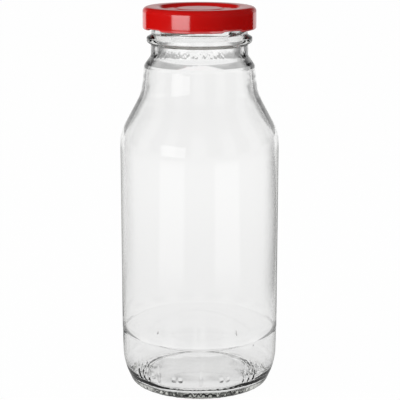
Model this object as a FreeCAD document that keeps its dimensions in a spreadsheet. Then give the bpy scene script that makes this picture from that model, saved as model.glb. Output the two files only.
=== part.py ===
import FreeCAD, Part
import math
import os

import Sketcher

# Small glass drinks bottle with a twist-off lid.
# Millimetres, +Z up, origin on the axis at the level the base stands on, front towards -Y.
# Azimuths are in degrees from the front, positive towards +X.

SIZES = {
    # glass body, from the base up
    "body_radius": 32.5,
    "glass_wall": 1.7,
    "base_radius": 28.4,
    "base_edge_round": 1.85,
    "heel_corner_height": 7.7,
    "heel_round": 29.0,
    "seam_height": 23.1,
    "seam_step": 0.15,
    "seam_groove": 0.22,
    "seam_half_width": 0.2,
    "shoulder_height": 105.9,
    "shoulder_round": 18.0,
    "collar_foot_radius": 23.6,
    "collar_foot_height": 122.3,
    "collar_foot_round": 17.6,
    "collar_radius": 22.5,
    "collar_height": 133.5,
    "collar_edge_round": 3.0,
    "neck_radius": 19.7,
    "neck_foot_height": 137.4,
    "neck_foot_round": 3.0,
    # transfer bead and the threaded finish above it
    "bead_radius": 21.4,
    "bead_foot_height": 141.9,
    "bead_low_height": 143.0,
    "bead_high_height": 144.8,
    "bead_edge_round": 0.8,
    "bead_foot_round": 0.5,
    "finish_radius": 18.8,
    "finish_foot_height": 146.2,
    "rim_height": 156.65,
    "rim_round": 0.5,
    "bore_radius": 17.1,
    # underside of the base
    "stand_ring_inner_radius": 25.0,
    "stand_ring_round": 0.8,
    "punt_edge_radius": 21.5,
    "punt_edge_height": 1.2,
    "punt_edge_round": 4.0,
    "punt_height": 2.4,
    "crown_radius": 8.0,
    "crown_round": 60.0,
    # inside of the glass
    "floor_height": 2.8,
    "floor_crown": 2.4,
    "floor_radius": 27.8,
    "floor_round": 4.0,
    "inner_heel_height": 7.5,
    "inner_heel_round": 8.0,
    "inner_collar_radius": 20.85,
    "inner_collar_height": 132.9,
    "inner_collar_round": 2.5,
    "inner_neck_height": 136.9,
    "inner_neck_round": 9.0,
    # four-start thread
    "thread_starts": 4,
    "thread_lead": 16.0,
    "thread_low_height": 147.3,
    "thread_rise": 4.2,
    "thread_round": 1.15,
    "thread_reach": 20.6,
    "thread_azimuth": 35.0,
    "thread_taper_share": 0.12,
    "thread_sections": 24,
    "thread_end_sink": 1.3,
    # tinplate lid
    "lid_radius": 22.95,
    "lid_top": 157.1,
    "lid_bottom": 148.2,
    "tinplate": 0.3,
    "lid_shoulder_round": 2.0,
    "crest_fall": 0.15,
    "crest_radius": 19.0,
    "crest_crown_round": 20.0,
    "crest_inner_radius": 16.2,
    "crest_round": 0.5,
    "panel_depth": 0.95,
    "panel_radius": 15.6,
    "panel_step_radius": 9.0,
    "panel_step_width": 0.8,
    "panel_step_height": 0.25,
    "panel_step_round": 0.5,
    "curl_width": 1.5,
    "curl_round": 0.7,
    "lug_count": 4,
    "lug_reach": 20.0,
    "lug_bottom": 148.8,
    "lug_height": 1.0,
    "lug_round": 0.3,
    "lug_span": 26.0,
    "lug_azimuth": 36.0,
    # raised mould marks round the heel
    "mark_relief": 0.35,
    "mark_depth": 1.2,
    "mark_centre_height": 9.2,
    "bar_height": 4.4,
    "bar_width": 0.8,
    "dot_radius": 0.9,
}

SHEET = "Sizes"


class Length:
    """A length together with the spreadsheet formula that drives it."""

    def __init__(self, value, formula):
        self.value = value
        self.formula = formula

    def __add__(self, other):
        return Length(self.value + other.value, f"{self.formula} + {other.formula}")

    def __sub__(self, other):
        return Length(self.value - other.value, f"{self.formula} - ({other.formula})")


def size(alias):
    return Length(SIZES[alias], f"{SHEET}.{alias}")


ZERO = Length(0.0, "0")


def write_sheet(doc):
    sheet = doc.addObject("Spreadsheet::Sheet", SHEET)
    for row, (alias, value) in enumerate(SIZES.items(), start=1):
        sheet.set(f"A{row}", alias.replace("_", " "))
        sheet.set(f"B{row}", str(value))
        sheet.setAlias(f"B{row}", alias)
    doc.recompute()


# ---------------------------------------------------------------- sketches


def origin_feature(body, role):
    return next(item for item in body.Origin.OriginFeatures if item.Role == role)


def unit(vector):
    return vector * (1.0 / vector.Length)


def tangent_points(before, corner, after, radius):
    """Where an arc of this radius touches the two lines that meet at the corner, and its centre."""
    towards_before = unit(before - corner)
    towards_after = unit(after - corner)
    half_angle = towards_before.getAngle(towards_after) / 2
    reach = radius / math.tan(half_angle)
    bisector = unit(towards_before + towards_after)
    centre = corner + bisector * (radius / math.sin(half_angle))
    return corner + towards_before * reach, corner + towards_after * reach, centre


def arc_between(start, end, centre):
    """The shorter arc joining two points, and which of its ends (1 or 2) lies at the start."""
    first = math.atan2(start.y - centre.y, start.x - centre.x)
    last = math.atan2(end.y - centre.y, end.x - centre.x)
    start_end = 1
    if (last - first) % (2 * math.pi) > math.pi:
        first, last = last, first
        start_end = 2
    if last < first:
        last += 2 * math.pi
    circle = Part.Circle(centre, FreeCAD.Vector(0, 0, 1), (start - centre).Length)
    return Part.ArcOfCircle(circle, first, last), start_end


def outline_sketch(body, name, corners, azimuth=90.0):
    """Closed outline in the upright half-plane at an azimuth, drawn as radius against height.

    Corners are (radius, height, rounding or None) lengths. Each corner is tied to the sheet, a
    rounded one through a construction point with an arc tangent to the two lines.
    """
    sketch = body.newObject("Sketcher::SketchObject", name)
    sketch.AttachmentSupport = (origin_feature(body, "XZ_Plane"), [""])
    sketch.MapMode = "FlatFace"
    turn = FreeCAD.Rotation(FreeCAD.Vector(0, 1, 0), azimuth - 90.0)
    sketch.AttachmentOffset = FreeCAD.Placement(FreeCAD.Vector(0, 0, 0), turn)

    spots = [FreeCAD.Vector(radius.value, height.value, 0) for radius, height, _ in corners]
    count = len(corners)
    entries, exits, arcs = [], [], []
    for index, (_, _, rounding) in enumerate(corners):
        if rounding is None:
            entries.append(spots[index])
            exits.append(spots[index])
            arcs.append(None)
            continue
        start, end, centre = tangent_points(
            spots[index - 1], spots[index], spots[(index + 1) % count], rounding.value
        )
        entries.append(start)
        exits.append(end)
        arcs.append(arc_between(start, end, centre))

    lines = [
        sketch.addGeometry(Part.LineSegment(exits[index], entries[(index + 1) % count]), False)
        for index in range(count)
    ]
    constraints = []
    driven = []
    for index, (radius, height, rounding) in enumerate(corners):
        line_in, line_out = lines[index - 1], lines[index]
        if arcs[index] is None:
            constraints.append(Sketcher.Constraint("Coincident", line_in, 2, line_out, 1))
            place, end = line_out, 1
        else:
            geometry, first_end = arcs[index]
            arc = sketch.addGeometry(geometry, False)
            last_end = 3 - first_end
            constraints.append(Sketcher.Constraint("Tangent", line_in, 2, arc, first_end))
            constraints.append(Sketcher.Constraint("Tangent", arc, last_end, line_out, 1))
            place, end = sketch.addGeometry(Part.Point(spots[index]), True), 1
            constraints.append(Sketcher.Constraint("PointOnObject", place, 1, line_in))
            constraints.append(Sketcher.Constraint("PointOnObject", place, 1, line_out))
            driven.append((len(constraints), f"round_{index}", rounding))
            constraints.append(Sketcher.Constraint("Radius", arc, rounding.value))
        if radius is ZERO:
            constraints.append(Sketcher.Constraint("PointOnObject", place, end, -2))
        else:
            driven.append((len(constraints), f"radius_{index}", radius))
            constraints.append(Sketcher.Constraint("DistanceX", -1, 1, place, end, radius.value))
        driven.append((len(constraints), f"height_{index}", height))
        constraints.append(Sketcher.Constraint("DistanceY", -1, 1, place, end, height.value))
    sketch.addConstraint(constraints)
    for position, label, length in driven:
        sketch.renameConstraint(position, label)
        sketch.setExpression(f"Constraints.{label}", length.formula)
    return sketch


def turned(body, kind, name, sketch):
    """Revolution (adds) or Groove (cuts) of a sketch about the bottle's axis."""
    feature = body.newObject(f"PartDesign::{kind}", name)
    feature.Profile = sketch
    feature.ReferenceAxis = (sketch, ["V_Axis"])
    sketch.Visibility = False
    return feature


def spread_round(body, name, feature, count_alias):
    """Polar pattern of one feature about the axis."""
    pattern = body.newObject("PartDesign::PolarPattern", name)
    pattern.Originals = [feature]
    pattern.Axis = (origin_feature(body, "Z_Axis"), [""])
    pattern.Angle = 360
    pattern.setExpression("Occurrences", f"{SHEET}.{count_alias}")
    body.Tip = pattern
    return pattern


# ---------------------------------------------------------------- glass bottle


def outer_corners():
    """Outside of the bottle from the middle of the punt, round the base and up to the rim."""
    below_seam = size("body_radius") - size("seam_step")
    return [
        (ZERO, size("punt_height"), None),
        (size("crown_radius"), size("punt_height"), size("crown_round")),
        (size("punt_edge_radius"), size("punt_edge_height"), size("punt_edge_round")),
        (size("stand_ring_inner_radius"), ZERO, size("stand_ring_round")),
        (size("base_radius"), ZERO, size("base_edge_round")),
        (below_seam, size("heel_corner_height"), size("heel_round")),
        (below_seam, size("seam_height") - size("seam_half_width"), None),
        (size("body_radius") - size("seam_groove"), size("seam_height"), None),
        (size("body_radius"), size("seam_height") + size("seam_half_width"), None),
        (size("body_radius"), size("shoulder_height"), size("shoulder_round")),
        (size("collar_foot_radius"), size("collar_foot_height"), size("collar_foot_round")),
        (size("collar_radius"), size("collar_height"), size("collar_edge_round")),
        (size("neck_radius"), size("neck_foot_height"), size("neck_foot_round")),
        (size("neck_radius"), size("bead_foot_height"), size("bead_foot_round")),
        (size("bead_radius"), size("bead_low_height"), size("bead_edge_round")),
        (size("bead_radius"), size("bead_high_height"), size("bead_edge_round")),
        (size("finish_radius"), size("finish_foot_height"), size("bead_foot_round")),
        (size("finish_radius"), size("rim_height"), size("rim_round")),
        (ZERO, size("rim_height"), None),
    ]


def inner_corners():
    """Inside of the bottle from the middle of the floor up through the mouth."""
    wall = size("glass_wall")
    body_inside = size("body_radius") - wall
    foot_inside = size("collar_foot_radius") - wall
    foot_round = size("collar_foot_round") + wall
    floor_top = size("floor_height") + size("floor_crown")
    return [
        (ZERO, floor_top, None),
        (size("crown_radius"), floor_top, size("crown_round")),
        (size("floor_radius"), size("floor_height"), size("floor_round")),
        (body_inside, size("inner_heel_height"), size("inner_heel_round")),
        (body_inside, size("shoulder_height"), size("shoulder_round") - wall),
        (foot_inside, size("collar_foot_height"), foot_round),
        (size("inner_collar_radius"), size("inner_collar_height"), size("inner_collar_round")),
        (size("bore_radius"), size("inner_neck_height"), size("inner_neck_round")),
        (size("bore_radius"), size("rim_height") - size("rim_round"), None),
        (size("bore_radius") + size("rim_round"), size("rim_height"), None),
        (ZERO, size("rim_height"), None),
    ]


def around(azimuth, radius, height):
    """Point at an azimuth from the front."""
    angle = math.radians(azimuth)
    return FreeCAD.Vector(radius * math.sin(angle), -radius * math.cos(angle), height)


def thread_shape():
    """One right-hand thread: a round rope along a helix whose ends shrink into the finish."""
    sweep = 360.0 * SIZES["thread_rise"] / SIZES["thread_lead"]
    sections = []
    for step in range(SIZES["thread_sections"] + 1):
        along = step / SIZES["thread_sections"]
        from_end = min(along, 1 - along) / SIZES["thread_taper_share"]
        fade = math.sin(math.pi / 2 * min(1.0, from_end))
        rope = SIZES["thread_round"] * (0.5 + 0.5 * fade)
        sunk = SIZES["thread_end_sink"] * (1 - fade)
        radius = SIZES["thread_reach"] - SIZES["thread_round"] - sunk
        height = SIZES["thread_low_height"] + SIZES["thread_rise"] * along
        azimuth = SIZES["thread_azimuth"] + sweep * along
        forward = around(azimuth + 90, 1.0, 0.0)
        circle = Part.Circle(around(azimuth, radius, height), forward, rope)
        sections.append(Part.Wire(circle.toShape()))
    return Part.makeLoft(sections, True)


def make_threads(doc):
    shape = thread_shape()
    threads = []
    for start in range(SIZES["thread_starts"]):
        thread = doc.addObject("Part::Feature", f"thread_{start + 1}")
        thread.Shape = shape
        turn = FreeCAD.Rotation(FreeCAD.Vector(0, 0, 1), 360.0 * start / SIZES["thread_starts"])
        thread.Placement = FreeCAD.Placement(FreeCAD.Vector(0, 0, 0), turn)
        threads.append(thread)
    return threads


# azimuths of the raised marks on one side of the bottle; the other side repeats them
BAR_AZIMUTHS = [-51.0, -46.0, -41.0, -31.0, 1.0, 35.0, 40.0, 45.0]
DOT_AZIMUTHS = [-36.0, -19.0, -14.0, 16.0, 21.0, 50.0]
SIDES = [0.0, 180.0]


def heel_tilt_and_skin(height):
    """Slope of the heel's arc at a height, in degrees off upright, and its radius there."""
    foot = FreeCAD.Vector(SIZES["base_radius"], 0, 0)
    corner_radius = SIZES["body_radius"] - SIZES["seam_step"]
    corner = FreeCAD.Vector(corner_radius, SIZES["heel_corner_height"], 0)
    above = corner + FreeCAD.Vector(0, SIZES["seam_height"], 0)
    _, _, centre = tangent_points(foot, corner, above, SIZES["heel_round"])
    tilt = math.asin((centre.y - height) / SIZES["heel_round"])
    return math.degrees(tilt), centre.x + SIZES["heel_round"] * math.cos(tilt)


def on_heel(azimuth, tilt, skin):
    """Placement on the heel: X points out of the glass, Z up along it."""
    lean = FreeCAD.Rotation(FreeCAD.Vector(0, 1, 0), tilt)
    turn = FreeCAD.Rotation(FreeCAD.Vector(0, 0, 1), azimuth - 90.0)
    return FreeCAD.Placement(around(azimuth, skin, SIZES["mark_centre_height"]), turn * lean)


def make_marks(doc):
    tilt, skin = heel_tilt_and_skin(SIZES["mark_centre_height"])
    marks = []
    for side in SIDES:
        for azimuth in BAR_AZIMUTHS:
            bar = doc.addObject("Part::Box", "bar")
            bar.setExpression("Length", f"{SHEET}.mark_depth")
            bar.setExpression("Width", f"{SHEET}.bar_width")
            bar.setExpression("Height", f"{SHEET}.bar_height")
            corner = FreeCAD.Vector(
                SIZES["mark_relief"] - SIZES["mark_depth"],
                -SIZES["bar_width"] / 2,
                -SIZES["bar_height"] / 2,
            )
            spot = on_heel(azimuth + side, tilt, skin)
            bar.Placement = spot * FreeCAD.Placement(corner, FreeCAD.Rotation())
            marks.append(bar)
        for azimuth in DOT_AZIMUTHS:
            dot = doc.addObject("Part::Cylinder", "dot")
            dot.setExpression("Radius", f"{SHEET}.dot_radius")
            dot.setExpression("Height", f"{SHEET}.mark_depth")
            outward = FreeCAD.Rotation(FreeCAD.Vector(0, 0, 1), FreeCAD.Vector(1, 0, 0))
            foot = FreeCAD.Vector(SIZES["mark_relief"] - SIZES["mark_depth"], 0, 0)
            spot = on_heel(azimuth + side, tilt, skin)
            dot.Placement = spot * FreeCAD.Placement(foot, outward)
            marks.append(dot)
    return marks


def make_bottle(doc):
    body = doc.addObject("PartDesign::Body", "blown_glass")
    turned(body, "Revolution", "outer_form", outline_sketch(body, "outside", outer_corners()))
    turned(body, "Groove", "cavity", outline_sketch(body, "inside", inner_corners()))
    bottle = doc.addObject("Part::MultiFuse", "bottle")
    bottle.Shapes = [body, *make_threads(doc), *make_marks(doc)]
    return bottle


# ---------------------------------------------------------------- tinplate lid


def lid_corners():
    """Section of the pressed lid: over the top from the middle to the curl, back underneath."""
    sheet = size("tinplate")
    top, panel = size("lid_top"), size("lid_top") - size("panel_depth")
    crest_edge = top - size("crest_fall")
    step_top = panel + size("panel_step_height")
    step_foot = size("panel_step_radius") + size("panel_step_width")
    skirt = size("lid_radius")
    curl_top = size("lid_bottom") + size("curl_width")
    curl_inside = skirt - size("curl_width")
    return [
        (ZERO, step_top, None),
        (size("panel_step_radius"), step_top, size("panel_step_round")),
        (step_foot, panel, size("panel_step_round")),
        (size("panel_radius"), panel, size("crest_round")),
        (size("crest_inner_radius"), crest_edge, size("crest_round") + sheet),
        (size("crest_radius"), top, size("crest_crown_round")),
        (skirt, crest_edge, size("lid_shoulder_round")),
        (skirt, size("lid_bottom"), size("curl_round")),
        (curl_inside, size("lid_bottom"), size("curl_round")),
        (curl_inside, curl_top, size("curl_round")),
        (skirt - sheet, curl_top, None),
        (skirt - sheet, crest_edge - sheet, size("lid_shoulder_round") - sheet),
        (size("crest_inner_radius") + sheet, crest_edge - sheet, size("crest_round")),
        (size("panel_radius") + sheet, panel - sheet, size("crest_round") + sheet),
        (step_foot, panel - sheet, size("panel_step_round") + sheet),
        (size("panel_step_radius"), step_top - sheet, size("panel_step_round")),
        (ZERO, step_top - sheet, None),
    ]


def notch_corners():
    """Section cut from under the curl where a lug is pressed in."""
    inside = size("lid_radius") - size("curl_width") - size("curl_width")
    outside = size("lid_radius") + size("curl_width")
    below = size("lid_bottom") - size("curl_width")
    return [
        (inside, below, None),
        (outside, below, None),
        (outside, size("lug_bottom"), None),
        (inside, size("lug_bottom"), None),
    ]


def lug_corners():
    """Section of a lug, from inside the curl to its rounded lip under the thread."""
    root = size("lid_radius") - size("curl_width")
    lug_top = size("lug_bottom") + size("lug_height")
    return [
        (root, size("lug_bottom"), None),
        (root, lug_top, None),
        (size("lug_reach"), lug_top, size("lug_round")),
        (size("lug_reach"), size("lug_bottom"), size("lug_round")),
    ]


def make_lid(doc):
    body = doc.addObject("PartDesign::Body", "lid")
    turned(body, "Revolution", "pressed_shell", outline_sketch(body, "section", lid_corners()))
    steps = [("Groove", "notch", notch_corners()), ("Revolution", "lug", lug_corners())]
    for kind, name, corners in steps:
        outline = outline_sketch(body, f"{name}_section", corners, SIZES["lug_azimuth"])
        feature = turned(body, kind, name, outline)
        feature.Midplane = True
        feature.setExpression("Angle", f"{SHEET}.lug_span")
        spread_round(body, f"{name}_pattern", feature, "lug_count")
    return body


# ---------------------------------------------------------------- document


def check(doc, nodes):
    failed = [item.Name for item in doc.Objects if {"Invalid", "Error"} & set(item.State)]
    for node in nodes:
        shape = node.Shape
        if shape.isNull() or not shape.isValid() or len(shape.Solids) != 1:
            failed.append(node.Label)
    if failed:
        raise RuntimeError(f"not built: {failed}")


def main():
    doc = FreeCAD.newDocument("bottle_with_lid")
    write_sheet(doc)
    nodes = [make_bottle(doc), make_lid(doc)]
    doc.recompute()
    check(doc, nodes)
    os.makedirs("parts", exist_ok=True)
    for node in nodes:
        node.Shape.exportStep(f"parts/{node.Label}.step")


main()
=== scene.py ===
"""A small clear glass drinks bottle with a red twist-off lid, on a pale studio floor."""

import math

import bpy
import numpy as np
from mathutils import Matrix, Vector


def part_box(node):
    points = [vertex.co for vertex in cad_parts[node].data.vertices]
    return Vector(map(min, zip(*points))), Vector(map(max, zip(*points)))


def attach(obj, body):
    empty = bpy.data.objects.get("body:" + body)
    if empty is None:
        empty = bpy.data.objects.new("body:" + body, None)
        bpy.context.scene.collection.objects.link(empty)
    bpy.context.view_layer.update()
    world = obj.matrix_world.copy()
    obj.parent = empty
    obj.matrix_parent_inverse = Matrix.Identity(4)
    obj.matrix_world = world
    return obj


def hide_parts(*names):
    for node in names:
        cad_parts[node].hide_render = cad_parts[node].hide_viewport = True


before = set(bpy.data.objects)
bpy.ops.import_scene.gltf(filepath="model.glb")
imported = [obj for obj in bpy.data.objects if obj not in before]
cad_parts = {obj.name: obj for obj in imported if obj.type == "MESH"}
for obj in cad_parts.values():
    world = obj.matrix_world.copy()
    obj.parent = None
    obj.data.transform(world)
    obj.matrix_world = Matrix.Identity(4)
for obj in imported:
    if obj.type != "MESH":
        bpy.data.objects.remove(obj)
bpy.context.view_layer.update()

MM = 0.001
bottle_low, bottle_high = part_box("bottle")
lid_low, lid_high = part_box("lid")

# Outside of the bottle. Radii and heights are from the axis and the standing plane.
BODY_RADIUS = bottle_high.x
RIM_HEIGHT = bottle_high.z
WALL = 1.7 * MM
BASE_RADIUS = 28.4 * MM
HEEL_RADIUS = BODY_RADIUS - 0.15 * MM
HEEL_CORNER_HEIGHT = 7.7 * MM
HEEL_ROUND = 29.0 * MM
BASE_ROUND = 1.85 * MM
SEAM_HEIGHT = 23.1 * MM
SEAM_HALF_WIDTH = 0.2 * MM
SEAM_GROOVE = 0.22 * MM
SHOULDER_HEIGHT = 105.9 * MM
SHOULDER_ROUND = 18.0 * MM
COLLAR_FOOT_RADIUS = 23.6 * MM
COLLAR_FOOT_HEIGHT = 122.3 * MM
COLLAR_FOOT_ROUND = 17.6 * MM
COLLAR_RADIUS = 22.5 * MM
COLLAR_HEIGHT = 133.5 * MM
COLLAR_ROUND = 3.0 * MM
NECK_RADIUS = 19.7 * MM
NECK_FOOT_HEIGHT = 137.4 * MM
NECK_FOOT_ROUND = 3.0 * MM
BEAD_RADIUS = 21.4 * MM
BEAD_FOOT_HEIGHT = 141.9 * MM
BEAD_FOOT_ROUND = 0.5 * MM
BEAD_LOW = 143.0 * MM
BEAD_HIGH = 144.8 * MM
BEAD_ROUND = 0.8 * MM
FINISH_RADIUS = 18.8 * MM
FINISH_FOOT_HEIGHT = 146.2 * MM
FINISH_FOOT_ROUND = 0.5 * MM
BORE_RADIUS = 17.1 * MM
RIM_ROUND = 0.5 * MM

# Underside of the base, and the inside from the floor up to the neck.
STAND_RING_INNER = 25.0 * MM
STAND_RING_ROUND = 0.8 * MM
PUNT_EDGE_RADIUS = 21.5 * MM
PUNT_EDGE_HEIGHT = 1.2 * MM
PUNT_EDGE_ROUND = 4.0 * MM
PUNT_HEIGHT = 2.4 * MM
CROWN_RADIUS = 8.0 * MM
CROWN_ROUND = 60.0 * MM
FLOOR_HEIGHT = 2.8 * MM
FLOOR_CROWN = 2.4 * MM
FLOOR_RADIUS = 27.8 * MM
FLOOR_ROUND = 4.0 * MM
INNER_HEEL_HEIGHT = 7.5 * MM
INNER_HEEL_ROUND = 8.0 * MM
INNER_NECK_HEIGHT = 136.9 * MM
INNER_NECK_ROUND = 9.0 * MM
INNER_COLLAR_RADIUS = 20.85 * MM
INNER_COLLAR_HEIGHT = 132.9 * MM
INNER_COLLAR_ROUND = 2.5 * MM

# Four right-hand threads on the finish. Azimuths are in degrees from the front towards +X.
THREAD_STARTS = 4
THREAD_LEAD = 16.0 * MM
THREAD_LOW = 147.3 * MM
THREAD_RISE = 4.2 * MM
THREAD_ROUND = 1.15 * MM
THREAD_REACH = 20.6 * MM
THREAD_AZIMUTH = 35.0
THREAD_TAPER_SHARE = 0.12  # of a thread's length, at each end

# Raised marks round the heel, on the front and again on the back.
MARK_RELIEF = 0.35 * MM
MARK_MIDDLE = 9.2 * MM
MARK_EDGE = 0.2 * MM
BAR_HEIGHT = 4.4 * MM
BAR_WIDTH = 0.8 * MM
DOT_RADIUS = 0.9 * MM
BAR_AZIMUTHS = [-51.0, -46.0, -41.0, -31.0, 1.0, 35.0, 40.0, 45.0]
DOT_AZIMUTHS = [-36.0, -19.0, -14.0, 16.0, 21.0, 50.0]
SIDES = [0.0, 180.0]
BAR_STEPS = np.array([-0.5, -0.3, 0.3, 0.5]) * MM
DOT_STEPS = np.array([-0.9, -0.6, 0.0, 0.6, 0.9]) * MM

# Cast pattern: (lobes round the bottle, phase, how far it drifts along the section).
KNURL = [(89, 0.3, 0.3 * MM), (61, 1.9, 0.22 * MM), (37, 4.1, 0.45 * MM)]
KNURL_SWAY = 3.0
KNURL_SWAYS = 7
KNURL_TOP = 1.4 * MM
KNURL_DEPTH = 0.35 * MM
BORE_END = 138.4 * MM
BORE_END_REACH = 1.6 * MM
BORE_END_DEPTH = 0.22 * MM

# Unevenness of the inside. Waves: (lobes, phase, turn per pitch, share).
# Bulges: (azimuth, height, reach, size). Settled: (lobes, phase, share).
WAVES = [(2, 2.2, 1.1, 0.5), (5, 0.6, -1.7, 0.3), (9, 0.4, 2.3, 0.2)]
WAVE_PITCH = 60.0 * MM
WAVE_DEPTH = 0.12 * MM
WAVES_BEGIN = (8.0 * MM, 30.0 * MM)
WAVES_END = (130.0 * MM, 146.0 * MM)
BULGES = [
    (82.0, 70.0 * MM, 26.0 * MM, 0.35 * MM),
    (-84.0, 38.0 * MM, 14.0 * MM, 0.35 * MM),
]
BULGE_SPAN = 16.0
SETTLED = [(3, 0.9, 0.5), (7, 2.0, 0.3), (13, 0.0, 0.2)]
SETTLED_DEPTH = 0.3 * MM
SETTLED_END = (4.0 * MM, 12.0 * MM)

# Lid.
LID_RADIUS = lid_high.x
LID_TOP = lid_high.z
LID_BOTTOM = lid_low.z
LID_SHOULDER_ROUND = 2.0 * MM
SHEET = 0.3 * MM
CREST_INNER = 16.2 * MM
CREST_INNER_ROUND = 0.8 * MM
CREST_RADIUS = 19.0 * MM
CREST_FALL = 0.15 * MM
CREST_ROUND = 20.0 * MM
PANEL_RADIUS = 15.6 * MM
PANEL_DEPTH = 0.95 * MM
PANEL_ROUND = 0.5 * MM
STEP_RADIUS = 9.0 * MM
STEP_WIDTH = 0.8 * MM
STEP_HEIGHT = 0.25 * MM
STEP_ROUND = 0.5 * MM
CURL_WIDTH = 1.5 * MM
CURL_ROUND = 0.7 * MM
CURL_SLIT = 0.05 * MM
UNDER_SHOULDER_ROUND = 1.7 * MM
UNDER_CREST_ROUND = 0.5 * MM
UNDER_PANEL_ROUND = 0.8 * MM
LUG_REACH = 20.0 * MM
LUG_BOTTOM = 148.8 * MM
LUG_HEIGHT = 1.0 * MM
LUG_SPAN = 26.0
LUG_TAPER = 4.0
LUG_AZIMUTH = 36.0
LUG_COUNT = 4

# How closely the turned surfaces are divided. The gaps are between rows.
COLUMNS = 360
CROWDED = 0.35
LID_COLUMNS = 288
MAX_BEND = math.radians(8)
DENSE = 0.1 * MM
OUTSIDE_GAP = 5.0 * MM
FINISH_GAP = 0.35 * MM
FINISH_MARGIN = 0.1 * MM
MARK_GAP = 0.55 * MM
MARK_REACH = 3.2 * MM
KNURL_GAP = 0.3 * MM
INSIDE_GAP = 4.0 * MM
BORE_END_GAP = 0.5 * MM
FLOOR_GAP = 1.0 * MM
LID_GAP = 1.0 * MM
TINY = 1e-9
STRAIGHT = 1e-6
ON_AXIS = 1e-7

# Painted shade: glass seen edge on is darkened where the surface carries one of these attributes:
# (attribute, facing at which the painted shade starts and is full, shade colour).
PAINTED_EDGE_SHADES = [
    ("outside", (0.66, 0.86), (0.6, 0.6, 0.58)),
    ("inside_body", (0.45, 0.85), (0.02, 0.02, 0.018)),
]
# Each span is where a painted shade starts, where it ends and how far it fades. The painted dark
# inner line is stronger on the right, and the painted shade of the outside is mostly left off the
# shoulder.
INNER_LINE_SPAN = (24.0 * MM, 108.0 * MM, 16.0 * MM)
INNER_LINE_MEAN = 0.6
INNER_LINE_RIGHT = 0.4
SHOULDER_SPAN = (100.0 * MM, 138.0 * MM, 8.0 * MM)
SHOULDER_CLEAR = 0.9

# Camera.
CAMERA_DISTANCE = 0.5528
CAMERA_HEIGHT = 0.20557
CAMERA_SIDE = 0.2 * MM
CAMERA_PITCH = 13.086
CAMERA_LENS = 123.07

# Lamps: name, azimuth from the front towards +X, height, distance, size, radiance, seen in mirrors.
LAMPS = [
    ("window", -38, 0.19, 1.1, (0.74, 0.36), 1.5, True),
    ("key", -60, 0.6, 1.2, (0.8, 0.8), 4.4, False),
    ("fill", 30, 0.9, 1.2, (0.7, 0.7), 0.4, False),
]

# Floor and surround. Pairs are where a change starts and ends: metres from the bottle,
# degrees from straight behind it, or the upward part of a direction.
FLOOR_SIZE = 3.0
SEEN_SHARE = 0.985  # the floor's own white; the rest is lit and takes the shadow
STRIP_SIDES = (120.0, 126.0), (162.0, 156.0)
STRIP_NEAR = (0.15, 0.25)
TABLE_MIRRORED = 0.35
STRIP_MIRRORED = 1.3
SWEEP_SIDES = (45.0, 40.0)
SWEEP_NEAR = (0.5, 0.75)
SWEEP_TOP = (0.4, 0.05)
SWEEP_SHARE = 0.55
CEILING_MIRRORED = 0.02
# Painted shadow: the floor seen through glass is greyer near the bottle.
NEARBY = (0.03, 0.4)
NEARBY_PAINTED_SHADOW = (0.88, 0.96)
FAR = (0.95, 1.2)
BAY_TURN = 45.0
BAY_SIDES = (7.0, 14.0)
BAY_DARK = 0.3
SKY_LOW = (0.05, 0.2)
SKY_SHADE = 0.85
SKY_HIGH = (0.5, 0.75)
CEILING_SHADE = 0.25
BACK_LOW = (0.02, 0.1)
BACK_HIGH = (0.6, 0.4)
BACK_SIDES = (50.0, 25.0)
BACK_SHADE = 0.5
AMBIENT = 0.45


# ------------------------------------------------------------------ turned forms


def rounded_path(corners):
    """Closely spaced points along straight runs whose corners are rounded by tangent arcs."""
    spots = [Vector((radius, height)) for radius, height, _ in corners]
    path = [spots[0]]
    for index in range(1, len(spots) - 1):
        here, rounding = spots[index], corners[index][2]
        towards_before = (spots[index - 1] - here).normalized()
        towards_after = (spots[index + 1] - here).normalized()
        if not rounding:
            extend_straight(path, here)
            continue
        half = towards_before.angle(towards_after) / 2
        reach = rounding / math.tan(half)
        start, end = here + towards_before * reach, here + towards_after * reach
        centre = here + (towards_before + towards_after).normalized() * (rounding / math.sin(half))
        extend_straight(path, start)
        sweep = math.pi - 2 * half
        steps = max(2, math.ceil(sweep * rounding / DENSE))
        for step in range(1, steps + 1):
            path.append(turned_between(start - centre, end - centre, step / steps) + centre)
    extend_straight(path, spots[-1])
    return path


def extend_straight(path, target):
    """Add closely spaced points up to the target."""
    start = path[-1]
    steps = max(1, math.ceil((target - start).length / DENSE))
    for step in range(1, steps + 1):
        path.append(start.lerp(target, step / steps))


def turned_between(first, last, share):
    """Spherical interpolation between two spokes of one circle."""
    angle = first.angle(last)
    if angle < STRAIGHT:
        return first.lerp(last, share)
    return (first * math.sin((1 - share) * angle) + last * math.sin(share * angle)) / math.sin(angle)


def outline(corners, gap):
    """Rows of a turned surface: closer where the path bends or where gap(point) asks for it."""
    path = rounded_path(corners)
    rows = [path[0]]
    travelled, bend = 0.0, 0.0
    for before, here, after in zip(path, path[1:], path[2:]):
        if (here - before).length < TINY or (after - here).length < TINY:
            continue
        travelled += (here - before).length
        bend += (here - before).angle(after - here)
        if travelled >= gap(here) or bend >= MAX_BEND:
            rows.append(here)
            travelled, bend = 0.0, 0.0
    rows.append(path[-1])
    return np.array([row[:] for row in rows])


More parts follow.
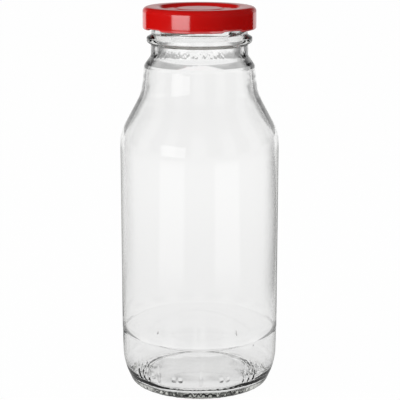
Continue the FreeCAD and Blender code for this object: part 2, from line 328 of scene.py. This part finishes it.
def lathe(name, radii, heights, azimuths):
    """Mesh of rows (first axis) by azimuth columns (second axis). A row on the axis is one point."""
    columns = len(azimuths)
    turn = np.radians(azimuths)
    points = np.stack([radii * np.sin(turn), -radii * np.cos(turn), heights], axis=-1)
    vertices, row_starts = [], []
    for row in range(len(points)):
        row_starts.append(len(vertices))
        on_axis = radii[row].max() < ON_AXIS
        vertices.extend(points[row][:1] if on_axis else points[row])
    faces = []
    for row in range(len(points) - 1):
        low, high = row_starts[row], row_starts[row + 1]
        low_pole = row_starts[row + 1] - low == 1
        high_pole = (row_starts[row + 2] if row + 2 < len(points) else len(vertices)) - high == 1
        for column in range(columns):
            following = (column + 1) % columns
            if low_pole:
                faces.append((low, high + following, high + column))
            elif high_pole:
                faces.append((low + column, low + following, high))
            else:
                faces.append((low + column, low + following, high + following, high + column))
    mesh = bpy.data.meshes.new(name)
    mesh.from_pydata([tuple(vertex) for vertex in vertices], [], faces)
    mesh.shade_smooth()
    piece = bpy.data.objects.new(name, mesh)
    bpy.context.scene.collection.objects.link(piece)
    return piece


def grid(rows, azimuths):
    """Radius, height and azimuth of every point of a turned surface."""
    radius = np.repeat(rows[:, :1], len(azimuths), axis=1)
    height = np.repeat(rows[:, 1:], len(azimuths), axis=1)
    azimuth = np.repeat(azimuths[None, :], len(rows), axis=0)
    return radius, height, azimuth


def wrapped(degrees):
    """Angle brought into -180 to 180."""
    return (degrees + 180.0) % 360.0 - 180.0


def smooth_step(values, start, end):
    """0 up to start, 1 from end on, smooth between them."""
    share = np.clip((values - start) / (end - start), 0.0, 1.0)
    return share * share * (3 - 2 * share)


# ------------------------------------------------------------------ glass bottle


def outside_corners():
    """Radius, height and rounding from the middle of the punt up to the rim."""
    return [
        (0.0, PUNT_HEIGHT, 0),
        (CROWN_RADIUS, PUNT_HEIGHT, CROWN_ROUND),
        (PUNT_EDGE_RADIUS, PUNT_EDGE_HEIGHT, PUNT_EDGE_ROUND),
        (STAND_RING_INNER, 0.0, STAND_RING_ROUND),
        (BASE_RADIUS, 0.0, BASE_ROUND),
        (HEEL_RADIUS, HEEL_CORNER_HEIGHT, HEEL_ROUND),
        (HEEL_RADIUS, SEAM_HEIGHT - SEAM_HALF_WIDTH, 0),
        (BODY_RADIUS - SEAM_GROOVE, SEAM_HEIGHT, 0),
        (BODY_RADIUS, SEAM_HEIGHT + SEAM_HALF_WIDTH, 0),
        (BODY_RADIUS, SHOULDER_HEIGHT, SHOULDER_ROUND),
        (COLLAR_FOOT_RADIUS, COLLAR_FOOT_HEIGHT, COLLAR_FOOT_ROUND),
        (COLLAR_RADIUS, COLLAR_HEIGHT, COLLAR_ROUND),
        (NECK_RADIUS, NECK_FOOT_HEIGHT, NECK_FOOT_ROUND),
        (NECK_RADIUS, BEAD_FOOT_HEIGHT, BEAD_FOOT_ROUND),
        (BEAD_RADIUS, BEAD_LOW, BEAD_ROUND),
        (BEAD_RADIUS, BEAD_HIGH, BEAD_ROUND),
        (FINISH_RADIUS, FINISH_FOOT_HEIGHT, FINISH_FOOT_ROUND),
        (FINISH_RADIUS, RIM_HEIGHT, RIM_ROUND),
        (BORE_RADIUS, RIM_HEIGHT, RIM_ROUND),
    ]


def inside_corners():
    """Radius, height and rounding from the rim down to the middle of the floor."""
    return [
        (BORE_RADIUS, RIM_HEIGHT - 2 * RIM_ROUND, 0),
        (BORE_RADIUS, INNER_NECK_HEIGHT, INNER_NECK_ROUND),
        (INNER_COLLAR_RADIUS, INNER_COLLAR_HEIGHT, INNER_COLLAR_ROUND),
        (COLLAR_FOOT_RADIUS - WALL, COLLAR_FOOT_HEIGHT, COLLAR_FOOT_ROUND + WALL),
        (BODY_RADIUS - WALL, SHOULDER_HEIGHT, SHOULDER_ROUND - WALL),
        (BODY_RADIUS - WALL, INNER_HEEL_HEIGHT, INNER_HEEL_ROUND),
        (FLOOR_RADIUS, FLOOR_HEIGHT, FLOOR_ROUND),
        (CROWN_RADIUS, FLOOR_HEIGHT + FLOOR_CROWN, CROWN_ROUND),
        (0.0, FLOOR_HEIGHT + FLOOR_CROWN, 0),
    ]


def outside_gap(point):
    """How far apart the rows may be at this point of the outside."""
    radius, height = point
    if height > FINISH_FOOT_HEIGHT and radius > FINISH_RADIUS - FINISH_MARGIN:
        return FINISH_GAP
    if abs(height - MARK_MIDDLE) < MARK_REACH and radius > BASE_RADIUS:
        return MARK_GAP
    if height < KNURL_TOP:
        return KNURL_GAP
    return OUTSIDE_GAP


def inside_gap(point):
    """How far apart the rows may be at this point of the inside."""
    _, height = point
    if BORE_END - 2 * BORE_END_REACH < height < BORE_END + 2 * BORE_END_REACH:
        return BORE_END_GAP
    if height < INNER_HEEL_HEIGHT:
        return FLOOR_GAP
    return INSIDE_GAP


def thread_relief(azimuth, height):
    """How far the threads stand out of the finish."""
    sweep = 360.0 * THREAD_RISE / THREAD_LEAD
    relief = np.zeros_like(height)
    for start in range(THREAD_STARTS):
        degrees = (azimuth - THREAD_AZIMUTH - 360.0 * start / THREAD_STARTS) % 360.0
        along = degrees / sweep
        from_end = np.minimum(along, 1 - along) / THREAD_TAPER_SHARE
        fade = np.sin(math.pi / 2 * np.clip(from_end, 0.0, 1.0))
        off_centre = height - THREAD_LOW - THREAD_LEAD * degrees / 360.0
        half = np.sqrt(np.maximum(THREAD_ROUND**2 - off_centre**2, 0.0))
        crown = THREAD_REACH - THREAD_ROUND + half - FINISH_RADIUS
        relief = np.maximum(relief, fade * crown)
    return relief


def mark_relief(azimuth, height):
    """How far the raised bars and dots stand out of the heel."""
    up = height - MARK_MIDDLE
    bar_ends = 1 - smooth_step(np.abs(up), BAR_HEIGHT / 2 - MARK_EDGE, BAR_HEIGHT / 2)
    bar_side = BAR_WIDTH / 2 - MARK_EDGE / 2, BAR_WIDTH / 2 + MARK_EDGE / 2
    relief = np.zeros_like(height)
    for side in SIDES:
        for middle in BAR_AZIMUTHS:
            across = np.abs(np.radians(wrapped(azimuth - middle - side))) * HEEL_RADIUS
            relief = np.maximum(relief, (1 - smooth_step(across, *bar_side)) * bar_ends)
        for middle in DOT_AZIMUTHS:
            across = np.radians(wrapped(azimuth - middle - side)) * HEEL_RADIUS
            away = np.sqrt(across**2 + up**2)
            relief = np.maximum(relief, 1 - smooth_step(away, DOT_RADIUS - MARK_EDGE, DOT_RADIUS))
    return relief * MARK_RELIEF


def knurl(azimuth, along):
    """Uneven cast pattern, from 0 to 1; along is a distance in the section."""
    turn = np.radians(azimuth)
    lobes = np.zeros_like(azimuth)
    for count, phase, drift in KNURL:
        sway = KNURL_SWAY * np.sin(KNURL_SWAYS * turn + phase)
        lobes = lobes + np.sin(count * turn + phase) * np.cos(along / drift + phase + sway)
    return 0.5 + 0.5 * lobes / len(KNURL)


def inside_waves(azimuth, height):
    """Uneven glass: the inside wanders slowly round and along the bottle."""
    turn = np.radians(azimuth)
    rise = height / WAVE_PITCH
    waves, bulges = 0.0, 0.0
    for count, phase, drift, share in WAVES:
        waves = waves + share * np.sin(count * turn + phase + drift * rise)
    for middle, level, reach, size in BULGES:
        off = wrapped(azimuth - middle) / BULGE_SPAN
        bulges = bulges + size * np.exp(-(off**2) - ((height - level) / reach) ** 2)
    at_bore_end = np.exp(-(((height - BORE_END) / BORE_END_REACH) ** 2))
    mottling = 2 * BORE_END_DEPTH * at_bore_end * (knurl(azimuth, height) - 0.5)
    return WAVE_DEPTH * waves + bulges + mottling


def settled(azimuth, radius):
    """How unevenly the glass lies in the bottom: lobes that grow towards the wall."""
    turn = np.radians(azimuth)
    lobes = 0.0
    for count, phase, share in SETTLED:
        lobes = lobes + share * np.sin(count * turn + phase)
    return SETTLED_DEPTH * lobes * smooth_step(radius, CROWN_RADIUS, FLOOR_RADIUS)


def mark_columns():
    """Azimuths that the marks' edges need beyond the even columns."""
    azimuths = []
    for side in SIDES:
        for middles, steps in ((BAR_AZIMUTHS, BAR_STEPS), (DOT_AZIMUTHS, DOT_STEPS)):
            for middle in middles:
                azimuths.extend(middle + side + np.degrees(steps / HEEL_RADIUS))
    return azimuths


def glass_azimuths():
    """The marks' columns, and the even ones that don't crowd them."""
    marks = np.sort(np.mod(mark_columns(), 360.0))
    even = np.arange(COLUMNS) * 360.0 / COLUMNS
    apart = np.abs(wrapped(even[:, None] - marks[None, :])).min(axis=1)
    return np.sort(np.concatenate([marks, even[apart > CROWDED]]))


def band(height, start, end, fade):
    """1 between two heights, 0 beyond them."""
    return smooth_step(height, start, start + fade) * (1 - smooth_step(height, end - fade, end))


def weigh_surfaces(mesh, outer_count):
    """Attributes for the painted edge shade: the outside, less on the shoulder, and the inside of the
    body.
    """
    spots = np.array([vertex.co[:] for vertex in mesh.vertices])
    rightwards = spots[:, 0] / BODY_RADIUS
    height = spots[:, 2]
    is_outside = np.arange(len(spots)) < outer_count
    outside = is_outside * (1 - SHOULDER_CLEAR * band(height, *SHOULDER_SPAN))
    # Painted shade: the dark inner line is stronger towards +X, the right side.
    strength = INNER_LINE_MEAN + INNER_LINE_RIGHT * rightwards
    inside = ~is_outside * band(height, *INNER_LINE_SPAN) * strength
    for name, weight in (("outside", outside), ("inside_body", inside)):
        attribute = mesh.attributes.new(name, "FLOAT", "POINT")
        attribute.data.foreach_set("value", weight.astype(float))


def shaped_outside(rows, azimuths):
    """Radii and heights of the outside with its threads, marks and knurled edge."""
    radius, height, azimuth = grid(rows, azimuths)
    on_finish = (height > FINISH_FOOT_HEIGHT) & (radius > FINISH_RADIUS - FINISH_MARGIN)
    radius = radius + np.where(on_finish, thread_relief(azimuth, height), 0.0)
    on_heel = (height < SEAM_HEIGHT / 2) & (radius > BASE_RADIUS)
    radius = radius + np.where(on_heel, mark_relief(azimuth, height), 0.0)
    on_ring = (height < KNURL_TOP) & (radius > STAND_RING_INNER)
    fade = 1 - smooth_step(height, KNURL_TOP / 2, KNURL_TOP)
    hollow = KNURL_DEPTH * fade * knurl(azimuth, radius + height)
    height = height + np.where(on_ring, hollow - hollow.min(), 0.0)
    return radius, height


def shaped_inside(rows, azimuths):
    """Radii and heights of the uneven inside."""
    radius, height, azimuth = grid(rows, azimuths)
    share = smooth_step(height, *WAVES_BEGIN) * (1 - smooth_step(height, *WAVES_END))
    radius = radius + share * inside_waves(azimuth, height)
    on_floor = 1 - smooth_step(height, *SETTLED_END)
    height = height + on_floor * settled(azimuth, radius)
    return radius, height


def make_glass():
    """The bottle as one closed surface, outside and inside."""
    azimuths = glass_azimuths()
    outside = outline(outside_corners(), outside_gap)
    inside = outline(inside_corners(), inside_gap)
    outer_radii, outer_heights = shaped_outside(outside, azimuths)
    inner_radii, inner_heights = shaped_inside(inside, azimuths)
    radii = np.concatenate([outer_radii, inner_radii])
    heights = np.concatenate([outer_heights, inner_heights])
    glass = lathe("clear_glass_bottle", radii, heights, azimuths)
    glass.data.materials.append(clear_glass())
    weigh_surfaces(glass.data, 1 + (len(outside) - 1) * len(azimuths))
    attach(glass, "root")
    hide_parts("bottle")


# ------------------------------------------------------------------ lid


def lid_top_corners():
    """Radius, height and rounding from the middle of the panel over the skirt into the curl."""
    panel = LID_TOP - PANEL_DEPTH
    crest_edge = LID_TOP - CREST_FALL
    curl_inner, curl_top = LID_RADIUS - CURL_WIDTH, LID_BOTTOM + CURL_WIDTH
    return [
        (0.0, panel + STEP_HEIGHT, 0),
        (STEP_RADIUS, panel + STEP_HEIGHT, STEP_ROUND),
        (STEP_RADIUS + STEP_WIDTH, panel, STEP_ROUND),
        (PANEL_RADIUS, panel, PANEL_ROUND),
        (CREST_INNER, crest_edge, CREST_INNER_ROUND),
        (CREST_RADIUS, LID_TOP, CREST_ROUND),
        (LID_RADIUS, crest_edge, LID_SHOULDER_ROUND),
        (LID_RADIUS, LID_BOTTOM, CURL_ROUND),
        (curl_inner, LID_BOTTOM, CURL_ROUND),
        (curl_inner, curl_top, CURL_ROUND),
        (LID_RADIUS - SHEET, curl_top, 0),
    ]


def lid_under_corners():
    """Radius, height and rounding from the curl up the skirt's inside to the middle."""
    panel = LID_TOP - PANEL_DEPTH - SHEET
    channel = LID_TOP - CREST_FALL - SHEET
    return [
        (LID_RADIUS - SHEET, LID_BOTTOM + CURL_WIDTH + CURL_SLIT, 0),
        (LID_RADIUS - SHEET, channel, UNDER_SHOULDER_ROUND),
        (CREST_INNER + SHEET, channel, UNDER_CREST_ROUND),
        (PANEL_RADIUS + SHEET, panel, UNDER_PANEL_ROUND),
        (STEP_RADIUS + STEP_WIDTH, panel, UNDER_PANEL_ROUND),
        (STEP_RADIUS, panel + STEP_HEIGHT, STEP_ROUND),
        (0.0, panel + STEP_HEIGHT, 0),
    ]


def lid_gap(point):
    """The lid's rows are evenly apart."""
    return LID_GAP


def lug_share(azimuths):
    """1 where a lug is pressed into the curl, 0 elsewhere, with soft ends."""
    share = np.zeros_like(azimuths)
    for lug in range(LUG_COUNT):
        away = np.abs(wrapped(azimuths - LUG_AZIMUTH - 360.0 * lug / LUG_COUNT))
        share = np.maximum(share, 1 - smooth_step(away, LUG_SPAN / 2 - LUG_TAPER, LUG_SPAN / 2))
    return share


def press_lugs(radius, height, azimuth):
    """A lug flattens the curl upwards and pushes its inner half towards the thread."""
    lug = lug_share(azimuth)
    in_curl = height < LID_BOTTOM + CURL_WIDTH
    share_up = np.clip((height - LID_BOTTOM) / CURL_WIDTH, 0, 1)
    lifted = LUG_BOTTOM + LUG_HEIGHT * share_up
    height = np.where(in_curl, height + lug * (lifted - height), height)
    inner_curl = in_curl & (radius < LID_RADIUS - CURL_WIDTH / 2)
    pushed = radius - (LID_RADIUS - CURL_WIDTH - LUG_REACH)
    radius = np.where(inner_curl, radius + lug * (pushed - radius), radius)
    return radius, height


def make_lid():
    """The lid: enamel outside, lacquer underneath."""
    top = outline(lid_top_corners(), lid_gap)
    under = outline(lid_under_corners(), lid_gap)
    azimuths = np.arange(LID_COLUMNS) * 360.0 / LID_COLUMNS
    radii, heights = press_lugs(*grid(np.concatenate([top, under]), azimuths))
    lid = lathe("red_tinplate_lid", radii, heights, azimuths)
    lid.data.materials.append(red_enamel())
    lid.data.materials.append(inside_lacquer())
    under_start = len(top) - 1
    for polygon in lid.data.polygons:
        first_row = (polygon.vertices[0] - 1) // LID_COLUMNS + 1
        polygon.material_index = 1 if first_row >= under_start else 0
    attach(lid, "root")
    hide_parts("lid")


# ------------------------------------------------------------------ materials


def new_material(name):
    """A material with its node tree, shader and output."""
    material = bpy.data.materials.new(name)
    material.use_nodes = True
    tree = material.node_tree
    shader = next(node for node in tree.nodes if node.type == "BSDF_PRINCIPLED")
    output = next(node for node in tree.nodes if node.type == "OUTPUT_MATERIAL")
    return material, tree, shader, output


def feed(tree, socket, source):
    """Link a node's output to a socket, or write a plain value there."""
    if isinstance(source, bpy.types.NodeSocket):
        tree.links.new(source, socket)
    else:
        socket.default_value = source


def calculate(tree, operation, first, second=0.0):
    """Result of a math node on sockets or plain numbers."""
    node = tree.nodes.new("ShaderNodeMath")
    node.operation = operation
    feed(tree, node.inputs[0], first)
    feed(tree, node.inputs[1], second)
    return node.outputs["Value"]


def ramp(tree, value, start, end, low=0.0, high=1.0):
    """Smooth change from low to high as value goes from start to end."""
    node = tree.nodes.new("ShaderNodeMapRange")
    node.interpolation_type = "SMOOTHSTEP"
    node.inputs["From Min"].default_value = start
    node.inputs["From Max"].default_value = end
    node.inputs["To Min"].default_value = low
    node.inputs["To Max"].default_value = high
    feed(tree, node.inputs["Value"], value)
    return node.outputs["Result"]


def noise(tree, scale, detail=2.0, roughness=0.5):
    """Noise in object space; scale is in features per metre."""
    place = tree.nodes.new("ShaderNodeTexCoord")
    texture = tree.nodes.new("ShaderNodeTexNoise")
    texture.inputs["Scale"].default_value = scale
    texture.inputs["Detail"].default_value = detail
    texture.inputs["Roughness"].default_value = roughness
    tree.links.new(place.outputs["Object"], texture.inputs["Vector"])
    return texture.outputs["Fac"]


def colour_between(tree, factor, first, second):
    """Mix of two colours, each a tuple or a socket."""
    mix = tree.nodes.new("ShaderNodeMix")
    mix.data_type = "RGBA"
    for socket, colour in (("A", first), ("B", second)):
        plain = isinstance(colour, tuple)
        feed(tree, mix.inputs[socket], (*colour, 1) if plain else colour)
    tree.links.new(factor, mix.inputs["Factor"])
    return mix.outputs["Result"]


def bump(tree, height, distance, strength=1.0):
    """Normal of a surface raised by height times distance."""
    node = tree.nodes.new("ShaderNodeBump")
    node.inputs["Distance"].default_value = distance
    node.inputs["Strength"].default_value = strength
    tree.links.new(height, node.inputs["Height"])
    return node.outputs["Normal"]


def clear_glass():
    """Flint glass: slow ripples in the surface, and painted shade that darkens it where it is seen
    edge on.
    """
    material, tree, shader, output = new_material("clear_glass")
    shader.inputs["Transmission Weight"].default_value = 1.0
    shader.inputs["IOR"].default_value = 1.52
    shader.inputs["Roughness"].default_value = 0.0
    edge_on = tree.nodes.new("ShaderNodeLayerWeight")
    edge_on.inputs["Blend"].default_value = 0.5
    facing = edge_on.outputs["Facing"]
    painted_shade_colour = (1.0, 1.0, 1.0)
    # Painted shade: the colour goes from white towards each shade colour as the surface turns edge on.
    for name, (start, end), colour in PAINTED_EDGE_SHADES:
        surface = tree.nodes.new("ShaderNodeAttribute")
        surface.attribute_name = name
        share = calculate(tree, "MULTIPLY", ramp(tree, facing, start, end), surface.outputs["Fac"])
        painted_shade_colour = colour_between(tree, share, painted_shade_colour, colour)
    tree.links.new(painted_shade_colour, shader.inputs["Base Color"])
    ripple = bump(tree, noise(tree, scale=60.0, detail=1.0), distance=0.05 * MM)
    tree.links.new(ripple, shader.inputs["Normal"])
    absorption = tree.nodes.new("ShaderNodeVolumeAbsorption")
    absorption.inputs["Color"].default_value = (0.48, 0.5, 0.4, 1)
    absorption.inputs["Density"].default_value = 10.0
    tree.links.new(absorption.outputs["Volume"], output.inputs["Volume"])
    return material


def red_enamel():
    """Baked red enamel over tinplate."""
    material, tree, shader, _ = new_material("red_enamel")
    depth = noise(tree, scale=90.0, detail=3.0)
    red = colour_between(tree, depth, (0.64, 0.002, 0.001), (0.69, 0.003, 0.002))
    tree.links.new(red, shader.inputs["Base Color"])
    tree.links.new(ramp(tree, depth, 0.0, 1.0, low=0.08, high=0.13), shader.inputs["Roughness"])
    shader.inputs["IOR"].default_value = 2.5
    peel = bump(tree, noise(tree, scale=900.0, detail=1.0), distance=0.01 * MM, strength=0.5)
    tree.links.new(peel, shader.inputs["Normal"])
    return material


def inside_lacquer():
    """Pale lacquer on the underside of the tinplate."""
    material, tree, shader, _ = new_material("inside_lacquer")
    cloud = noise(tree, scale=120.0)
    cream = colour_between(tree, cloud, (0.70, 0.68, 0.62), (0.78, 0.76, 0.71))
    tree.links.new(cream, shader.inputs["Base Color"])
    tree.links.new(ramp(tree, cloud, 0.0, 1.0, low=0.3, high=0.4), shader.inputs["Roughness"])
    return material


# ------------------------------------------------------------------ studio


def make_camera():
    """Slightly raised camera in front, looking down by its pitch."""
    camera = bpy.data.objects.new("camera", bpy.data.cameras.new("camera"))
    camera.data.lens = CAMERA_LENS
    camera.data.sensor_width = 36.0
    camera.location = (CAMERA_SIDE, -CAMERA_DISTANCE, CAMERA_HEIGHT)
    camera.rotation_euler = (math.radians(90 - CAMERA_PITCH), 0.0, 0.0)
    bpy.context.scene.collection.objects.link(camera)
    bpy.context.scene.camera = camera


def azimuth_from_back(tree, x, y):
    """Unsigned angle from +Y, in degrees."""
    angle = calculate(tree, "ARCTAN2", x, y)
    return calculate(tree, "MULTIPLY", calculate(tree, "ABSOLUTE", angle), 180 / math.pi)


def bays(tree, azimuth):
    """White bays every 45 degrees with greyer ones between them."""
    half = BAY_TURN / 2
    turned = calculate(tree, "MODULO", calculate(tree, "ADD", azimuth, half), BAY_TURN)
    off_middle = calculate(tree, "ABSOLUTE", calculate(tree, "SUBTRACT", turned, half))
    return ramp(tree, off_middle, *BAY_SIDES, low=1.0, high=BAY_DARK)


def mixed_value(tree, factor, first, second):
    """First where factor is 0, second where it is 1."""
    mix = tree.nodes.new("ShaderNodeMix")
    feed(tree, mix.inputs["Factor"], factor)
    feed(tree, mix.inputs["A"], first)
    feed(tree, mix.inputs["B"], second)
    return mix.outputs["Result"]


def components(tree, vector):
    """The three parts of a vector."""
    parts = tree.nodes.new("ShaderNodeSeparateXYZ")
    tree.links.new(vector, parts.inputs["Vector"])
    return [parts.outputs[axis] for axis in "XYZ"]


def floor_mirrored(tree, away, off_back):
    """What mirrors see: a pale table, two window strips on it, and the white sweep behind."""
    left, right = (ramp(tree, off_back, *side) for side in STRIP_SIDES)
    strips = calculate(tree, "MULTIPLY", left, right)
    strips = calculate(tree, "MULTIPLY", strips, ramp(tree, away, *STRIP_NEAR))
    table = mixed_value(tree, strips, TABLE_MIRRORED, STRIP_MIRRORED)
    sweep = ramp(tree, off_back, *SWEEP_SIDES)
    return mixed_value(tree, ramp(tree, away, *SWEEP_NEAR), table, sweep)


def floor_through(tree, away, off_back):
    """What is seen through glass: white, a painted soft shadow a little greyer near the bottle, and
    bays far off.
    """
    nearby = ramp(tree, away, *NEARBY, *NEARBY_PAINTED_SHADOW)
    return mixed_value(tree, ramp(tree, away, *FAR), nearby, bays(tree, off_back))


def make_floor():
    """White floor that keeps a soft shadow, seen straight on, in mirrors and through glass."""
    bpy.ops.mesh.primitive_circle_add(vertices=128, radius=FLOOR_SIZE, fill_type="NGON")
    floor = bpy.context.object
    floor.name = "floor"
    floor.location.z = bottle_low.z
    material, tree, shader, output = new_material("floor")
    shader.inputs["Base Color"].default_value = (0.9, 0.9, 0.9, 1)
    shader.inputs["Roughness"].default_value = 0.8
    place = tree.nodes.new("ShaderNodeNewGeometry")
    x, y, _ = components(tree, place.outputs["Position"])
    squares = [calculate(tree, "MULTIPLY", part, part) for part in (x, y)]
    away = calculate(tree, "SQRT", calculate(tree, "ADD", *squares))
    off_back = azimuth_from_back(tree, x, y)

    rays = tree.nodes.new("ShaderNodeLightPath").outputs
    strength = mixed_value(tree, rays["Is Glossy Ray"], 1.0, floor_mirrored(tree, away, off_back))
    through = floor_through(tree, away, off_back)
    strength = mixed_value(tree, rays["Is Transmission Ray"], strength, through)
    glow = tree.nodes.new("ShaderNodeEmission")
    tree.links.new(strength, glow.inputs["Strength"])
    seen = calculate(tree, "MAXIMUM", rays["Is Camera Ray"], rays["Is Glossy Ray"])
    seen = calculate(tree, "MAXIMUM", seen, rays["Is Transmission Ray"])
    mix = tree.nodes.new("ShaderNodeMixShader")
    tree.links.new(calculate(tree, "MULTIPLY", seen, SEEN_SHARE), mix.inputs["Fac"])
    tree.links.new(shader.outputs["BSDF"], mix.inputs[1])
    tree.links.new(glow.outputs["Emission"], mix.inputs[2])
    tree.links.new(mix.outputs["Shader"], output.inputs["Surface"])
    floor.data.materials.append(material)


def sky_mirrored(tree, z, off_back):
    """What mirrors see: a dark ceiling and the white sweep behind."""
    sides = ramp(tree, off_back, *SWEEP_SIDES)
    height = ramp(tree, z, *SWEEP_TOP, low=0.0, high=SWEEP_SHARE)
    return mixed_value(tree, calculate(tree, "MULTIPLY", sides, height), CEILING_MIRRORED, 1.0)


def sky_through(tree, z, off_back):
    """What is seen through glass: a white wall in bays, dimmer behind, under a dark ceiling."""
    low = ramp(tree, z, *SKY_LOW, low=1.0, high=SKY_SHADE)
    wall = calculate(tree, "MULTIPLY", low, ramp(tree, z, *SKY_HIGH, low=1.0, high=CEILING_SHADE))
    behind = calculate(tree, "MULTIPLY", ramp(tree, z, *BACK_LOW), ramp(tree, z, *BACK_HIGH))
    behind = calculate(tree, "MULTIPLY", behind, ramp(tree, off_back, *BACK_SIDES))
    wall = mixed_value(tree, behind, wall, BACK_SHADE)
    return calculate(tree, "MULTIPLY", wall, bays(tree, off_back))


def make_world():
    """Plain ambient light; glass shows a white surround under a dark ceiling."""
    world = bpy.data.worlds.new("studio")
    bpy.context.scene.world = world
    world.use_nodes = True
    tree = world.node_tree
    background = next(node for node in tree.nodes if node.type == "BACKGROUND")
    direction = tree.nodes.new("ShaderNodeTexCoord")
    x, y, z = components(tree, direction.outputs["Generated"])
    off_back = azimuth_from_back(tree, x, y)

    rays = tree.nodes.new("ShaderNodeLightPath").outputs
    strength = mixed_value(tree, rays["Is Glossy Ray"], AMBIENT, sky_mirrored(tree, z, off_back))
    through = sky_through(tree, z, off_back)
    strength = mixed_value(tree, rays["Is Transmission Ray"], strength, through)
    strength = mixed_value(tree, rays["Is Camera Ray"], strength, 1.0)
    background.inputs["Color"].default_value = (1, 1, 1, 1)
    tree.links.new(strength, background.inputs["Strength"])


def soft_box(name, azimuth, height, distance, size, radiance, mirrored):
    """Area lamp facing the bottle; radiance is how bright its face looks."""
    lamp = bpy.data.lights.new(name, "AREA")
    lamp.shape = "RECTANGLE"
    lamp.size, lamp.size_y = size
    lamp.energy = radiance * math.pi * size[0] * size[1]
    box = bpy.data.objects.new(name, lamp)
    turn = math.radians(azimuth)
    box.location = (math.sin(turn) * distance, -math.cos(turn) * distance, height)
    aim = Vector((0.0, 0.0, (bottle_low.z + lid_high.z) / 2))
    box.rotation_euler = (box.location - aim).to_track_quat("Z", "Y").to_euler()
    box.visible_camera = False
    box.visible_glossy = mirrored
    box.visible_transmission = False
    bpy.context.scene.collection.objects.link(box)


def make_lights():
    """A window that gloss reflects, and two lamps that only light."""
    for lamp in LAMPS:
        soft_box(*lamp)


bpy.context.scene.view_settings.view_transform = "Standard"
make_camera()
make_floor()
make_world()
make_lights()
make_glass()
make_lid()
